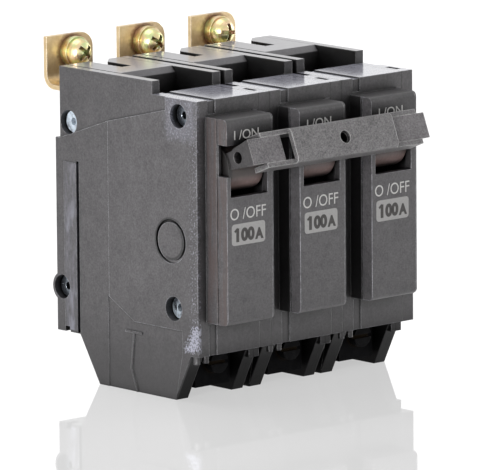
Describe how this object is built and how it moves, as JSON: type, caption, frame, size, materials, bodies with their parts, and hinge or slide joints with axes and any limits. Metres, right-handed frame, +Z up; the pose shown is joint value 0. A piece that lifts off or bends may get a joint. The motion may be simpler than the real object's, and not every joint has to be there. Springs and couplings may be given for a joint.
{
  "type": "circuit breaker",
  "caption": "Multi-pole bolt-on circuit breaker with moulded pole cases side by side, tied toggle handles, rear screw tabs for the line and clamp lugs between legs for the load.",
  "frame": {"origin": "middle of the bounding box, on the plane that the legs stand on", "axes": "+X across the poles to the right as seen from the handles, +Y to the rear along the line screws, +Z up from the load end to the line end"},
  "size_m": [0.0762, 0.0896, 0.0886],
  "materials": {
    "case_moulding": "dark charcoal moulded phenolic, satin with fine upright streaks",
    "handle_moulding": "grey moulded plastic, finely grained",
    "tie_moulding": "lighter grey moulded channel, grained",
    "trip_moulding": "brown moulded phenolic",
    "copper": "bare copper",
    "contact_silver": "dull silver alloy",
    "plated_steel": "zinc plated steel sheet",
    "spring_steel": "drawn steel wire",
    "magnet_iron": "dark annealed iron",
    "bimetal_strip": "rolled bimetal",
    "fibre": "pressed fibre board",
    "strap_brass": "tan plated strap, brushed along its length",
    "lug_aluminium": "extruded aluminium, tin washed",
    "dark_steel": "oiled steel",
    "rivet_steel": "bright plated tube rivet",
    "yellow_zinc": "yellow chromated zinc"
  },
  "bodies": {
    "case": {"case_base_1": "case_moulding", "case_base_2": "case_moulding", "case_base_3": "case_moulding", "case_cover_1": "case_moulding", "case_cover_2": "case_moulding", "case_cover_3": "case_moulding", "main_spring_1": "spring_steel", "main_spring_2": "spring_steel", "main_spring_3": "spring_steel", "bimetal_1": "bimetal_strip", "bimetal_2": "bimetal_strip", "bimetal_3": "bimetal_strip", "magnet_yoke_1": "magnet_iron", "magnet_yoke_2": "magnet_iron", "magnet_yoke_3": "magnet_iron", "braid_1": "copper", "braid_2": "copper", "braid_3": "copper", "arc_plates_1": "plated_steel", "arc_plates_2": "plated_steel", "arc_plates_3": "plated_steel", "arc_sides_1": "fibre", "arc_sides_2": "fibre", "arc_sides_3": "fibre", "line_strap_1": "strap_brass", "line_strap_2": "strap_brass", "line_strap_3": "strap_brass", "load_strap_1": "strap_brass", "load_strap_2": "strap_brass", "load_strap_3": "strap_brass", "lug_1": "lug_aluminium", "lug_2": "lug_aluminium", "lug_3": "lug_aluminium", "trip_spring": "spring_steel", "case_rivets": "rivet_steel", "fixed_contacts": "contact_silver", "line_screws": "yellow_zinc", "line_lock_washers": "yellow_zinc", "line_washers": "yellow_zinc"},
    "handle_set": {"handle_1": "handle_moulding", "handle_2": "handle_moulding", "handle_3": "handle_moulding", "handle_tie": "tie_moulding"},
    "release_bar": {"trip_bar": "trip_moulding", "armature_1": "plated_steel", "armature_2": "plated_steel", "armature_3": "plated_steel"},
    "moving_arm_1": {"contact_arm_1": "copper", "moving_contact_1": "contact_silver"},
    "latch_cradle_1": {"cradle_1": "plated_steel"},
    "clamp_screw_1": {"lug_screw_1": "dark_steel"},
    "moving_arm_2": {"contact_arm_2": "copper", "moving_contact_2": "contact_silver"},
    "latch_cradle_2": {"cradle_2": "plated_steel"},
    "clamp_screw_2": {"lug_screw_2": "dark_steel"},
    "moving_arm_3": {"contact_arm_3": "copper", "moving_contact_3": "contact_silver"},
    "latch_cradle_3": {"cradle_3": "plated_steel"},
    "clamp_screw_3": {"lug_screw_3": "dark_steel"}
  },
  "joints": [
    {"name": "handle_swing", "type": "hinge", "parent": "case", "child": "handle_set", "pos_m": [0, -0.02791, 0.0614], "axis": [1, 0, 0], "range_deg": [0, 44]},
    {"name": "release_turn", "type": "hinge", "parent": "case", "child": "release_bar", "pos_m": [0, -0.01701, 0.0416], "axis": [1, 0, 0], "range_deg": [0, 12], "stiffness_Nm_per_rad": 0.03, "deforming": ["trip_spring"]},
    {"name": "arm_turn_1", "type": "hinge", "parent": "handle_set", "child": "moving_arm_1", "pos_m": [-0.0274, -0.01919, 0.05788], "axis": [1, 0, 0], "range_deg": [-71.4, 0], "deforming": ["main_spring_1", "braid_1"]},
    {"name": "cradle_turn_1", "type": "hinge", "parent": "case", "child": "latch_cradle_1", "pos_m": [-0.0224, 0.00869, 0.0456], "axis": [1, 0, 0], "range_deg": [-18.2, 0]},
    {"name": "clamp_slide_1", "type": "slide", "parent": "case", "child": "clamp_screw_1", "axis": [0, 1, 0], "range_m": [0, 0.005]},
    {"name": "arm_turn_2", "type": "hinge", "parent": "handle_set", "child": "moving_arm_2", "pos_m": [-0.002, -0.01919, 0.05788], "axis": [1, 0, 0], "range_deg": [-71.4, 0], "deforming": ["main_spring_2", "braid_2"]},
    {"name": "cradle_turn_2", "type": "hinge", "parent": "case", "child": "latch_cradle_2", "pos_m": [0.003, 0.00869, 0.0456], "axis": [1, 0, 0], "range_deg": [-18.2, 0]},
    {"name": "clamp_slide_2", "type": "slide", "parent": "case", "child": "clamp_screw_2", "axis": [0, 1, 0], "range_m": [0, 0.005]},
    {"name": "arm_turn_3", "type": "hinge", "parent": "handle_set", "child": "moving_arm_3", "pos_m": [0.0234, -0.01919, 0.05788], "axis": [1, 0, 0], "range_deg": [-71.4, 0], "deforming": ["main_spring_3", "braid_3"]},
    {"name": "cradle_turn_3", "type": "hinge", "parent": "case", "child": "latch_cradle_3", "pos_m": [0.0284, 0.00869, 0.0456], "axis": [1, 0, 0], "range_deg": [-18.2, 0]},
    {"name": "clamp_slide_3", "type": "slide", "parent": "case", "child": "clamp_screw_3", "axis": [0, 1, 0], "range_m": [0, 0.005]}
  ],
  "couplings": [
    {"joint": "arm_turn_1", "follows": "handle_swing", "ratio": -1.62},
    {"joint": "arm_turn_2", "follows": "handle_swing", "ratio": -1.62},
    {"joint": "arm_turn_3", "follows": "handle_swing", "ratio": -1.62},
    {"joint": "cradle_turn_1", "follows": "release_turn", "ratio": -1.5},
    {"joint": "cradle_turn_2", "follows": "release_turn", "ratio": -1.5},
    {"joint": "cradle_turn_3", "follows": "release_turn", "ratio": -1.5}
  ]
}
